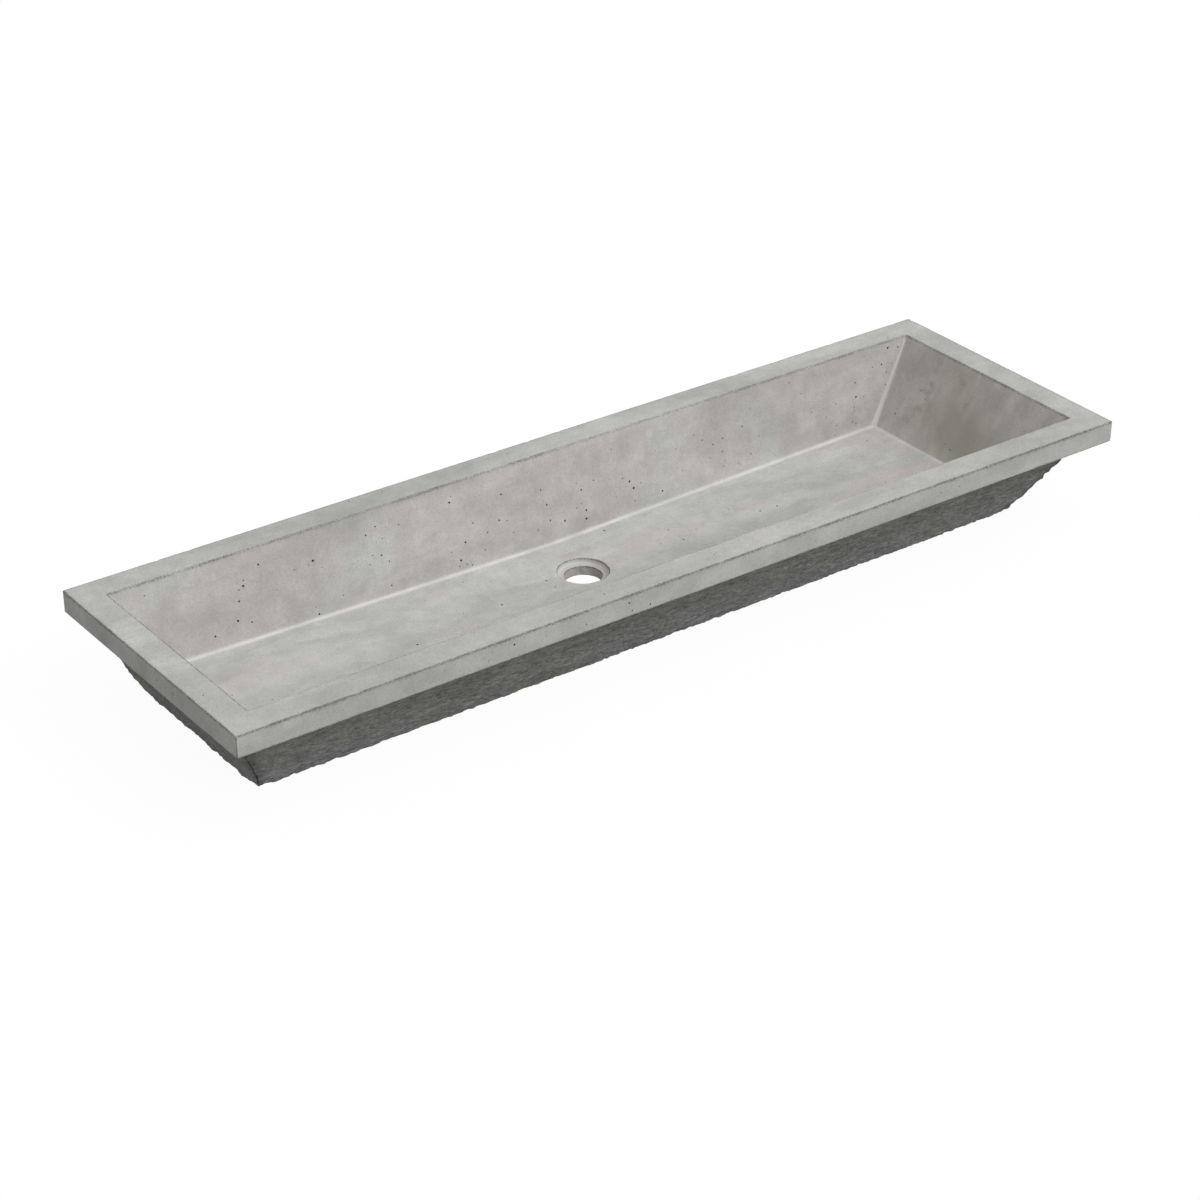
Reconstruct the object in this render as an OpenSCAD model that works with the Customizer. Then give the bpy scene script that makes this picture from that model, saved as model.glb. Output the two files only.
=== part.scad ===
// Cast concrete trough sink with a flat rim, a floor that falls to the middle and one waste hole.
//
// Origin: the middle of the rim's outline, at the level of the flat underside. X runs along the
// trough, +Y towards the steep back wall, +Z up. All lengths are millimetres, angles degrees.
//
// The basin and the rim are one smooth face coat. A fibre concrete core fills the rim, and five
// rough batches back the four walls and the floor. Glass-fibre scrims lie between the coat and
// the batches, and four steel bars, tied where they cross, lie in the rim's core.

/* [Rim] */
// Length of the rim, end to end
rim_l = 1246; // [1100:1:1400]
// Width of the rim, front to back
rim_w = 381; // [350:1:420]
// Thickness of the rim's square edge
rim_t = 27; // [24:0.5:40]
// Width of the rim's top face along the two ends
rim_end_w = 36.5; // [33:0.5:50]
// Width of the rim's top face along the front and the back
rim_side_w = 37.5; // [34:0.5:46]

/* [Basin] */
// Depth from the top of the rim to the floor at the end walls
end_depth = 110.5; // [80:0.5:150]
// Fall of the floor from the end walls to the middle
floor_fall = 10.5; // [4:0.5:13]
// Lean of the end walls from vertical
end_lean = 28.3; // [10:0.1:35]
// Lean of the front wall from vertical
front_lean = 32; // [10:0.1:36]
// Lean of the back wall from vertical
back_lean = 5.7; // [1:0.1:12]

/* [Layers] */
// Whole thickness of the floor at its middle
floor_t = 18.5; // [15:0.5:40]
// Thickness of the smooth face coat
face_t = 6; // [4:0.25:7]
// Whole thickness of each end wall
end_wall_t = 32; // [24:0.5:34]
// Whole thickness of the front wall
front_wall_t = 25.5; // [20:0.5:30]
// Whole thickness of the back wall
back_wall_t = 33; // [24:0.5:36]

/* [Waste hole] */
// Distance of the hole behind the middle of the rim
waste_y = 63; // [30:1:75]
// Diameter of the hole
waste_d = 46; // [40:0.5:52]
// Diameter of the seat sunk round the hole
seat_d = 64; // [58:0.5:80]
// Depth of the seat below the floor
seat_depth = 6.2; // [3:0.1:8]

/* [Scrims] */
// Distance between a scrim's strands
scrim_pitch = 40; // [30:1:60]
// Width of a strand
strand_w = 4; // [2:0.5:6]
// Thickness of a scrim
scrim_t = 1.2; // [0.6:0.1:2]
// Distance from a scrim's edge to the edges of its wall or of the waste seat
scrim_edge = 10; // [5:0.5:16]

/* [Rim steel] */
// Diameter of a bar
bar_d = 5; // [3:0.5:6]
// Concrete between the rim's edge and a bar's side
bar_cover = 20; // [18:0.5:22]
// Concrete beyond a bar's end
bar_end_cover = 12; // [8:0.5:14]
// Gap between bars where they cross
bar_gap = 0.4; // [0.3:0.1:1]
// Diameter of the tie wire
tie_d = 1.4; // [1:0.1:2]
// Gap between a tie and the bars it holds
tie_gap = 0.3; // [0.2:0.1:0.6]

/* [Hidden] */
$fn = 96;
over = 1; // how far a cutting solid runs past the face it opens

height = end_depth + floor_fall + floor_t; // from the flat underside to the top of the rim
open_half_l = rim_l / 2 - rim_end_w; // half the basin's opening, along the trough
open_half_w = rim_w / 2 - rim_side_w; // and across it
under_rim_z = height - rim_t;
end_floor_z = height - end_depth; // the floor's level at the end walls

// Where a wall's plane lies at level z, when moved t outwards from the basin's inside
function end_x(t, z) = open_half_l + t / cos(end_lean) - (height - z) * tan(end_lean);
function front_y(t, z) = (height - z) * tan(front_lean) - open_half_w - t / cos(front_lean);
function back_y(t, z) = open_half_w + t / cos(back_lean) - (height - z) * tan(back_lean);

// The floor is two planes that meet over the middle. These give their level at the middle, and
// their far edges, when moved t downwards
fall_slope = floor_fall / end_x(0, end_floor_z);
function mid_z(t) = end_floor_z - floor_fall - t * sqrt(1 + pow(fall_slope, 2));
function floor_x(t) = end_x(t, mid_z(t)) / (1 - fall_slope * tan(end_lean));
function floor_z(t) = mid_z(t) + fall_slope * floor_x(t);

seat_z = mid_z(0) - seat_depth;

core_top_z = height - face_t;
bar_x = rim_l / 2 - bar_cover - bar_d / 2;
bar_y = rim_w / 2 - bar_cover - bar_d / 2;
bar_mid_z = (core_top_z + under_rim_z) / 2;
bar_rise = (bar_d + bar_gap) / 2; // of the cross bars above this level, and of the long ones below
tie_r = bar_d + bar_gap / 2 + tie_gap + tie_d / 2;

smooth = [0.70, 0.71, 0.67];
rough = [0.37, 0.375, 0.365];

// Extrudes an outline drawn in X and Z along Y, between y0 and y1
module along_y(y0, y1) {
    translate([0, y1, 0]) rotate([90, 0, 0]) linear_extrude(y1 - y0) children();
}

// Extrudes an outline drawn in Y and Z along X, between x0 and x1
module along_x(x0, x1) {
    translate([x0, 0, 0]) rotate([90, 0, 90]) linear_extrude(x1 - x0) children();
}

// The basin's hollow with its walls and floor moved t outwards, up to level top
module basin(t, top) {
    below = mid_z(t) - over;
    intersection() {
        along_y(-rim_w, rim_w) polygon([
            [-end_x(t, top), top], [-floor_x(t), floor_z(t)], [0, mid_z(t)],
            [floor_x(t), floor_z(t)], [end_x(t, top), top],
        ]);
        along_x(-rim_l, rim_l) polygon([
            [front_y(t, top), top], [front_y(t, below), below],
            [back_y(t, below), below], [back_y(t, top), top],
        ]);
    }
}

module hollow() {
    basin(0, height + over);
}

module coated_hollow() {
    basin(face_t, height);
}

// The rim's slab, drawn in by inset at its sides and top, down to level bottom
module slab(inset, bottom) {
    l = rim_l - 2 * inset;
    w = rim_w - 2 * inset;
    translate([-l / 2, -w / 2, bottom]) cube([l, w, height - inset - bottom]);
}

// The waste hole from level bottom and its seat up to level top, both drawn out by coat
module waste(coat, bottom, top) {
    translate([0, waste_y, bottom]) cylinder(d = waste_d + 2 * coat, h = top - bottom);
    translate([0, waste_y, seat_z - coat])
        cylinder(d = seat_d + 2 * coat, h = top - seat_z + coat);
}

module face_shell() {
    color(smooth) difference() {
        union() {
            difference() {
                slab(0, under_rim_z);
                slab(face_t, under_rim_z - over);
            }
            coated_hollow();
            waste(face_t, 0, mid_z(0));
        }
        hollow();
        waste(0, -over, end_floor_z);
    }
}

module rim_core() {
    color(rough) difference() {
        slab(face_t, under_rim_z);
        coated_hollow();
        rim_bars();
        ties();
    }
}

// The seam between two wall batches at the right-hand end is the plane through the corner of the
// backing's outside and the same corner of the face coat. This is the space on the end wall's side
// of it, for the front seam with side -1 or the back seam with side 1
module past_seam(side, corner_y, lean, wall_t) {
    corner_edge = [tan(end_lean), side * tan(lean), 1];
    outwards = [(end_wall_t - face_t) / cos(end_lean), side * (wall_t - face_t) / cos(lean), 0];
    normal = -side * cross(corner_edge, outwards);
    translate([end_x(face_t, 0), corner_y, 0])
        rotate([0, acos(normal.z / norm(normal)), atan2(normal.y, normal.x)])
            translate([-rim_l, -rim_l, 0]) cube(2 * rim_l);
}

module past_front_seam() {
    past_seam(-1, front_y(face_t, 0), front_lean, front_wall_t);
}

module past_back_seam() {
    past_seam(1, back_y(face_t, 0), back_lean, back_wall_t);
}

// The first child, less the others
module batch() {
    color(rough) difference() {
        children(0);
        children([1 : $children - 1]);
    }
}

module backing_front() {
    batch() {
        along_x(-rim_l / 2, rim_l / 2) polygon([
            [front_y(front_wall_t, 0), 0], [front_y(face_t, 0), 0],
            [front_y(face_t, under_rim_z), under_rim_z],
            [front_y(front_wall_t, under_rim_z), under_rim_z],
        ]);
        past_front_seam();
        mirror([1, 0, 0]) past_front_seam();
        groove_front();
    }
}

module backing_back() {
    batch() {
        along_x(-rim_l / 2, rim_l / 2) polygon([
            [back_y(face_t, 0), 0], [back_y(back_wall_t, 0), 0],
            [back_y(back_wall_t, under_rim_z), under_rim_z],
            [back_y(face_t, under_rim_z), under_rim_z],
        ]);
        past_back_seam();
        mirror([1, 0, 0]) past_back_seam();
        groove_back();
    }
}

// The batch behind the right-hand end wall, before its scrim is let in
module end_backing() {
    intersection() {
        along_y(-rim_w / 2, rim_w / 2) polygon([
            [end_x(face_t, 0), 0], [end_x(end_wall_t, 0), 0],
            [end_x(end_wall_t, under_rim_z), under_rim_z],
            [end_x(face_t, under_rim_z), under_rim_z],
        ]);
        past_front_seam();
        past_back_seam();
    }
}

module backing_left() {
    batch() {
        mirror([1, 0, 0]) end_backing();
        groove_left();
    }
}

module backing_right() {
    batch() {
        end_backing();
        groove_right();
    }
}

module backing_floor() {
    batch() {
        intersection() {
            along_y(-rim_w, rim_w) polygon([
                [-end_x(face_t, 0), 0], [end_x(face_t, 0), 0], [floor_x(face_t), floor_z(face_t)],
                [0, mid_z(face_t)], [-floor_x(face_t), floor_z(face_t)],
            ]);
            along_x(-rim_l, rim_l) polygon([
                [front_y(face_t, 0), 0], [back_y(face_t, 0), 0],
                [back_y(face_t, end_floor_z), end_floor_z],
                [front_y(face_t, end_floor_z), end_floor_z],
            ]);
        }
        waste(face_t, -over, mid_z(0));
        groove_floor();
    }
}

// Where the strands of a net start, from edge to edge of [a, b], at most pitch apart
function strands(a, b, pitch) =
    let (gaps = ceil((b - a - strand_w) / pitch), step = (b - a - strand_w) / gaps)
    [for (i = [0 : gaps]) a + i * step];

// A net of strands over [u0, u1] by [v0, v1], where a slope makes v shorter than it is drawn
module net(u0, u1, v0, v1, lean = 0) {
    for (u = strands(u0, u1, scrim_pitch))
        translate([u, v0]) square([strand_w, v1 - v0]);
    for (v = strands(v0, v1, scrim_pitch * cos(lean)))
        translate([u0, v]) square([u1 - u0, strand_w]);
}

scrim_low_z = floor_z(face_t) + scrim_edge;
scrim_high_z = under_rim_z - scrim_edge;

// The net over a long wall, drawn in X and Z and kept clear of the leaning ends
module long_net(lean) {
    low_x = end_x(face_t, scrim_low_z) - scrim_edge;
    high_x = end_x(face_t, scrim_high_z) - scrim_edge;
    intersection() {
        net(-high_x, high_x, scrim_low_z, scrim_high_z, lean);
        polygon([
            [-low_x, scrim_low_z], [low_x, scrim_low_z],
            [high_x, scrim_high_z], [-high_x, scrim_high_z],
        ]);
    }
}

// The net over an end wall, drawn in Y and Z
module end_net() {
    front_high_y = front_y(face_t, scrim_high_z) + scrim_edge;
    back_high_y = back_y(face_t, scrim_high_z) - scrim_edge;
    intersection() {
        net(front_high_y, back_high_y, scrim_low_z, scrim_high_z, end_lean);
        polygon([
            [front_y(face_t, scrim_low_z) + scrim_edge, scrim_low_z],
            [back_y(face_t, scrim_low_z) - scrim_edge, scrim_low_z],
            [back_high_y, scrim_high_z], [front_high_y, scrim_high_z],
        ]);
    }
}

// The net under the floor, drawn in plan and cut away round the waste seat
module floor_net() {
    half_l = floor_x(face_t) - scrim_edge;
    difference() {
        net(
            -half_l, half_l,
            front_y(face_t, mid_z(face_t)) + scrim_edge, back_y(face_t, mid_z(face_t)) - scrim_edge);
        translate([0, waste_y]) circle(d = seat_d + 2 * (face_t + scrim_edge));
    }
}

// What each scrim is let into: a net as deep as the scrim, open to the face coat
module groove() {
    intersection() {
        basin(face_t + scrim_t, under_rim_z);
        children();
    }
}

module groove_front() {
    groove() along_y(-rim_w, 0) long_net(front_lean);
}

module groove_back() {
    groove() along_y(0, rim_w) long_net(back_lean);
}

module groove_left() {
    groove() along_x(-rim_l, 0) end_net();
}

module groove_right() {
    groove() along_x(0, rim_l) end_net();
}

module groove_floor() {
    groove() linear_extrude(under_rim_z) floor_net();
}

// A scrim: its groove, as far as the back of the face coat
module scrim() {
    color("white") difference() {
        children();
        coated_hollow();
    }
}

module scrim_front() {
    scrim() groove_front();
}

module scrim_back() {
    scrim() groove_back();
}

module scrim_left() {
    scrim() groove_left();
}

module scrim_right() {
    scrim() groove_right();
}

module scrim_floor() {
    scrim() groove_floor();
}

// A bar along X in the front or back of the rim, at y
module long_bar(y) {
    half = rim_l / 2 - bar_end_cover;
    color("silver") translate([-half, y, bar_mid_z - bar_rise])
        rotate([0, 90, 0]) cylinder(d = bar_d, h = 2 * half);
}

// A bar along Y in one end of the rim, at x
module cross_bar(x) {
    half = rim_w / 2 - bar_end_cover;
    color("silver") translate([x, half, bar_mid_z + bar_rise])
        rotate([90, 0, 0]) cylinder(d = bar_d, h = 2 * half);
}

module rim_bars() {
    rim_bar_front();
    rim_bar_back();
    rim_bar_left();
    rim_bar_right();
}

module rim_bar_front() {
    long_bar(-bar_y);
}

module rim_bar_back() {
    long_bar(bar_y);
}

module rim_bar_left() {
    cross_bar(-bar_x);
}

module rim_bar_right() {
    cross_bar(bar_x);
}

// A ring of wire round both bars at each crossing, set across them
module ties() {
    for (x = [-1, 1], y = [-1, 1])
        translate([x * bar_x, y * bar_y, bar_mid_z]) rotate([90, 0, x * y * 45])
            rotate_extrude() translate([tie_r, 0]) circle(d = tie_d);
}

module corner_ties() {
    color("gray") ties();
}

face_shell();
rim_core();
backing_front();
backing_back();
backing_left();
backing_right();
backing_floor();
scrim_front();
scrim_back();
scrim_left();
scrim_right();
scrim_floor();
rim_bar_front();
rim_bar_back();
rim_bar_left();
rim_bar_right();
corner_ties();
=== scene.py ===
"""Dresses the cast concrete trough sink.

The smooth face coat and the five rough batches behind it are built here as dense meshes, with the
relief of the real surfaces, and stand for the plain CAD solids. The rim's core, the scrims, the
bars and the ties stay as they are and get materials. Lengths are in metres.
"""

from math import cos, pi, radians, sin, sqrt, tan

import bmesh
import bpy
import numpy as np
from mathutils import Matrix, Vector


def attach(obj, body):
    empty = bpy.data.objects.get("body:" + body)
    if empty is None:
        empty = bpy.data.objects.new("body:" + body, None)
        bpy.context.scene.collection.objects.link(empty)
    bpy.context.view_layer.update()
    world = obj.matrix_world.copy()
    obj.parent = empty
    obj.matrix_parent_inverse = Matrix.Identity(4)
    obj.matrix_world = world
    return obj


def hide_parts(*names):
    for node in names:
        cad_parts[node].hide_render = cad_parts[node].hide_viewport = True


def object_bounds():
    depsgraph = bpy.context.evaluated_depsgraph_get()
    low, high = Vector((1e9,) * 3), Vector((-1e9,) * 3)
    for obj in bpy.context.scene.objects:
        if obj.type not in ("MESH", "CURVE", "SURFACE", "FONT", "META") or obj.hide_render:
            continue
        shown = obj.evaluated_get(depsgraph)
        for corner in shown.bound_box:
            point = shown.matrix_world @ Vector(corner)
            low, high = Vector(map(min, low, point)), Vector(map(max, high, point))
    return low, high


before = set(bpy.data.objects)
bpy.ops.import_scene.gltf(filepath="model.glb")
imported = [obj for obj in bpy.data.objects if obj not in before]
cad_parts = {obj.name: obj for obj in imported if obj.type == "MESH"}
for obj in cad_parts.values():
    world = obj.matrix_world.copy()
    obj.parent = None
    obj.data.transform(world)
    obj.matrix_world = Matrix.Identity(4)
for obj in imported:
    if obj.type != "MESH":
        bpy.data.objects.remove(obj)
cad_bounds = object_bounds()

# The sink's named sizes, as in part.scad
RIM_L, RIM_W, HEIGHT = cad_bounds[1] - cad_bounds[0]
RIM_T = 0.027
RIM_END_W, RIM_SIDE_W = 0.0365, 0.0375
END_DEPTH, FLOOR_FALL = 0.1105, 0.0105
END_LEAN, FRONT_LEAN, BACK_LEAN = radians(28.3), radians(32), radians(5.7)
COAT, SCRIM = 0.006, 0.0012
END_WALL, FRONT_WALL, BACK_WALL = 0.032, 0.0255, 0.033
WASTE_Y, WASTE_R, SEAT_R, SEAT_DEPTH = 0.063, 0.023, 0.032, 0.0062
UNDER_RIM = HEIGHT - RIM_T
END_FLOOR = HEIGHT - END_DEPTH
MID_FLOOR = END_FLOOR - FLOOR_FALL
INNER = COAT + SCRIM  # the batches start behind the scrims

# ---------------------------------------------------------------- planes


def end_x(t, z):
    """Where the end wall's plane lies at level z, when moved t outwards."""
    return RIM_L / 2 - RIM_END_W + t / cos(END_LEAN) - (HEIGHT - z) * tan(END_LEAN)


def front_y(t, z):
    """The same for the front wall's plane."""
    return RIM_SIDE_W - RIM_W / 2 - t / cos(FRONT_LEAN) + (HEIGHT - z) * tan(FRONT_LEAN)


def back_y(t, z):
    """The same for the back wall's plane."""
    return RIM_W / 2 - RIM_SIDE_W + t / cos(BACK_LEAN) - (HEIGHT - z) * tan(BACK_LEAN)


SLOPE = FLOOR_FALL / end_x(0, END_FLOOR)
VALLEY = 0.012  # half the width in which the floor's two planes run into each other


def floor_z(x, t=0.0):
    """The floor's level at x, when moved t downwards."""
    return MID_FLOOR - t * sqrt(1 + SLOPE**2) + SLOPE * np.sqrt(np.square(x) + VALLEY**2)


# ---------------------------------------------------------------- noise and meshes

NOISE_VALUES = 8192
NOISE_FACTORS = np.array([73856093, 19349663, 83492791])  # large odd numbers, one for each axis
WELD_STEPS = 1e6  # to a metre. Points in one step are one point
WELD_SHIFT = 0.317  # of a step, so that round lengths don't lie on the edge of a step
SHARP = radians(38)  # edges that turn more than this aren't shaded smooth


def smooth(low, high, value):
    """How far value has come from low to high, from 0 to 1, with a soft start and end."""
    share = np.clip((value - low) / (high - low), 0, 1)
    return share * share * (3 - 2 * share)


def noise(points, size, seed):
    """Smooth noise from -1 to 1, in features about size long. size may differ by axis."""
    grid = points / np.asarray(size)
    cell = np.floor(grid).astype(np.int64)
    part = grid - cell
    part = part * part * (3 - 2 * part)
    values = np.random.default_rng(seed).uniform(-1, 1, NOISE_VALUES)
    total = np.zeros(points.shape[:-1])
    for corner in np.ndindex(2, 2, 2):
        weight = np.prod(np.where(corner, part, 1 - part), axis=-1)
        total += weight * values[(cell + corner) @ NOISE_FACTORS % NOISE_VALUES]
    return total


class Shell:
    """Gathers grids of quads and flat caps, and welds them into one closed mesh. Marks are numbers
    from 0 to about 1 at the points, which the relief and the materials read."""

    def __init__(self):
        self.points, self.marks, self.faces, self.count = [], [], [], 0

    def add(self, points, marks):
        """Takes in points, and returns the number of the first."""
        points = np.reshape(points, (-1, 3))
        self.points.append(points)
        self.marks.append(marks)
        self.count += len(points)
        return self.count - len(points)

    def patch(self, grid, keep=None, **marks):
        """A grid of points, with a quad in each of its cells, or in those that keep says."""
        a, b = grid.shape[:2]
        marks = {k: np.broadcast_to(v, (a, b)).ravel() for k, v in marks.items()}
        index = self.add(grid, marks) + np.arange(a * b).reshape(a, b)
        quads = np.stack([index[:-1, :-1], index[1:, :-1], index[1:, 1:], index[:-1, 1:]], -1)
        self.faces += (quads.reshape(-1, 4) if keep is None else quads[keep]).tolist()

    def ring(self, rows, **marks):
        """Closed loops of points, each joined to the next."""

        def closed(loops):
            return np.concatenate([loops, loops[:, :1]], 1)

        rows = np.asarray(rows)
        marks = {k: closed(np.broadcast_to(v, rows.shape[:2])) for k, v in marks.items()}
        self.patch(closed(rows), **marks)

    def cap(self, *runs):
        """One flat face through runs of points, in order. A run may be turned back on itself."""
        points = np.concatenate(runs)
        first = self.add(points, {})
        self.faces.append(list(range(first, first + len(points))))

    def welded(self):
        """The points, marks and faces, with the points that coincide made one."""
        points = np.concatenate(self.points)
        steps = np.floor(points * WELD_STEPS + WELD_SHIFT)
        _, first, index = np.unique(steps, axis=0, return_index=True, return_inverse=True)
        index = index.ravel()
        marks = {}
        for name in sorted({k for m in self.marks for k in m}):
            values = [m.get(name, np.zeros(len(p))) for m, p in zip(self.marks, self.points)]
            marks[name] = np.zeros(len(first))
            np.maximum.at(marks[name], index, np.concatenate(values))
        faces = []
        for face in self.faces:
            corners = [int(index[v]) for v in face]
            corners = [v for i, v in enumerate(corners) if v != corners[i - 1]]
            if len(corners) > 2:
                faces.append(corners)
        return points[first], marks, faces


def normals(points, faces):
    """The way out at each point, the mean of its faces' normals."""
    total = np.zeros_like(points)
    for size in {len(f) for f in faces}:
        group = np.array([f for f in faces if len(f) == size])
        p = points[group]
        n = np.cross(p - np.roll(p, 1, 1), np.roll(p, -1, 1) - p).sum(1)
        for corner in group.T:
            np.add.at(total, corner, n)
    return total / np.maximum(np.linalg.norm(total, axis=1, keepdims=True), 1e-12)


def placed(name, data):
    """A new object in the scene."""
    obj = bpy.data.objects.new(name, data)
    bpy.context.scene.collection.objects.link(obj)
    return obj


def make(name, points, marks, faces, material, slot, node, sharp=SHARP):
    """A piece that rides on the sink's one body and stands for a CAD node."""
    mesh = bpy.data.meshes.new(name)
    mesh.from_pydata(points.tolist(), [], faces)
    for mark, values in marks.items():
        layer = mesh.attributes.new(mark, "FLOAT", "POINT")
        layer.data.foreach_set("value", values.astype(np.float32))
    work = bmesh.new()
    work.from_mesh(mesh)
    bmesh.ops.delete(work, geom=[v for v in work.verts if not v.link_faces], context="VERTS")
    bmesh.ops.recalc_face_normals(work, faces=work.faces)
    work.to_mesh(mesh)
    work.free()
    mesh.shade_smooth()
    mesh.set_sharp_from_angle(angle=sharp)
    mesh.materials.append(material)
    piece = placed(name, mesh)
    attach(piece, "root")
    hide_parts(node)


def sides(edge, cells):
    """A loop round a grid of cells, as its front, right, back and left runs."""
    a, b = cells
    edge = np.concatenate([edge, edge[:1]])
    return (
        edge[: a + 1],
        edge[a : a + b + 1],
        edge[a + b : 2 * a + b + 1][::-1],
        edge[2 * a + b :][::-1],
    )


def round_grid(grid):
    """The edge of a grid of points, anticlockwise from its first corner."""
    return np.concatenate([grid[:-1, 0], grid[-1, :-1], grid[:0:-1, -1], grid[0, :0:-1]])


def round_block(grid, block):
    """The edge of the points of a block of the grid's cells."""
    return round_grid(grid[block[0] : block[1] + 1, block[2] : block[3] + 1])


def close_across(shell, edge, cells, hole, block, corner):
    """Closes a hidden side with strips from front to back, round a hole in block's place."""
    front, right, back, left = sides(edge, cells)
    i0, i1, j0, j1 = block
    near, hole_right, far, hole_left = sides(hole, (i1 - i0, j1 - j0))
    for columns in (slice(corner, i0), slice(i1 + 1, cells[0] - corner + 1)):
        shell.patch(np.stack([front[columns], back[columns]]))
    shell.patch(np.stack([front[i0 : i1 + 1], near]))
    shell.patch(np.stack([far, back[i0 : i1 + 1]]))
    shell.cap(front[i0 - 1 : i0 + 1], hole_left, back[i0 - 1 : i0 + 1][::-1])
    shell.cap(front[i1 : i1 + 2], back[i1 : i1 + 2][::-1], hole_right[::-1])
    shell.cap(front[: corner + 1], back[: corner + 1][::-1], left[1:-1][::-1])
    last = cells[0] - corner
    shell.cap(front[last:], right[1:-1], back[last:][::-1])


def keep_out(cells, block):
    """Which of a grid's cells lie outside block."""
    keep = np.ones(cells, bool)
    keep[block[0] : block[1], block[2] : block[3]] = False
    return keep


def waste_block(grid, half):
    """The block of a grid's cells that reaches about half to each side of the waste."""
    x, y = grid[:, 0, 0], grid[len(grid) // 2, :, 1]
    i = int(np.argmin(np.abs(x + half)))
    j0, j1 = (int(np.argmin(np.abs(y - WASTE_Y - d))) for d in (-half, half))
    return i, len(grid) - 1 - i, j0, j1


def round_waste(edge, r, z):
    """A ring of radius r round the waste, with a point for each of the block's edge."""
    angle = np.arctan2(edge[:, 1] - WASTE_Y, edge[:, 0])
    x = r * np.cos(angle)
    return np.stack([x, WASTE_Y + r * np.sin(angle), np.broadcast_to(z, len(x))], 1)


# ---------------------------------------------------------------- the smooth face coat

CELLS = (300, 80)  # of the floor's grid, along and across
ARC = 2  # cells of each side that turn half of a corner
WASTE_BLOCK = 0.0425  # half the width of the cells that give way to the waste
WASTE_COLLAR = 0.004  # from the seat to where the floor's rings are round


def border():
    """For each point round the floor's grid, its place between the corners' centres, from -1 to 1
    in x and y, and its way out."""
    steps = [np.arange(n + 1) for n in CELLS]
    grid = np.stack(np.meshgrid(*steps, indexing="ij") + [np.zeros([n + 1 for n in CELLS])], -1)
    index = round_grid(grid)[:, :2]
    cells = np.array(CELLS)
    place = np.clip((index - ARC) / (cells - 2 * ARC), 0, 1) * 2 - 1
    turn = np.clip(ARC - np.minimum(index, cells - index), 0, None) / ARC
    on_long = (index[:, 1] == 0) | (index[:, 1] == CELLS[1])
    angle = np.where(on_long, pi / 2 - turn[:, 0] * pi / 4, turn[:, 1] * pi / 4)
    sign = np.sign(index - cells / 2)
    return place, np.stack([np.cos(angle), np.sin(angle)], 1).round(12) * sign


PLACE, OUT = border()
LONG_SHARE = np.arctan2(np.abs(OUT[:, 1]), np.abs(OUT[:, 0])) / (pi / 2)
SHARES = [1 - LONG_SHARE, LONG_SHARE * (OUT[:, 1] < 0), LONG_SHARE * (OUT[:, 1] > 0)]


def mixed(end, front, back):
    """A value for each border point, from those of the end, front and back walls."""
    return sum(share * value for share, value in zip(SHARES, (end, front, back)))


def loop(x_end, y_front, y_back, r_front, r_back, z):
    """A rounded oblong through the border's points."""
    r = np.where(OUT[:, 1] > 0, r_back, r_front)
    x = PLACE[:, 0] * (x_end - r) + r * OUT[:, 0]
    low, high = y_front + r_front, y_back - r_back
    y = low + (PLACE[:, 1] + 1) / 2 * (high - low) + r * OUT[:, 1]
    return np.stack(np.broadcast_arrays(x, y, z), 1)


def slab_loop(inset, z, r):
    """A loop at level z that lies inset within the rim's outside."""
    return loop(RIM_L / 2 - inset, inset - RIM_W / 2, RIM_W / 2 - inset, r, r, z)


LEANS = np.array([END_LEAN, FRONT_LEAN, BACK_LEAN])
COVE_R = 0.0045  # of the hollow corners round the floor
COVE_FOOT_R = 0.002  # of the corners of the cove's foot, in plan
COVE_HIGHLIGHT = (0.4, 0.75, 0.95, 0.8, 0.3, 0)  # painted highlight in the cove, from foot to head
ARRIS_R = 0.0012  # of the rim's inner edge
TOP_CORNER_R = 0.0022  # of the basin's mouth, in plan
DARKEST_TOP = 0.993  # share of the walls' height at which they are darkest below the rim
OUTER_ARRIS_R = 0.0009
LOWER_ARRIS_R = 0.0006
SLAB_CORNER_R = 0.0005  # of the rim's outside, in plan
UNDER_CORNER_R = 0.0018  # the same at the underside
CORE_CORNER_R = 0.001  # of the rim's core, in plan
HIDDEN_CORNER_R = 0.004  # of the coat's hidden side, in plan


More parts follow.
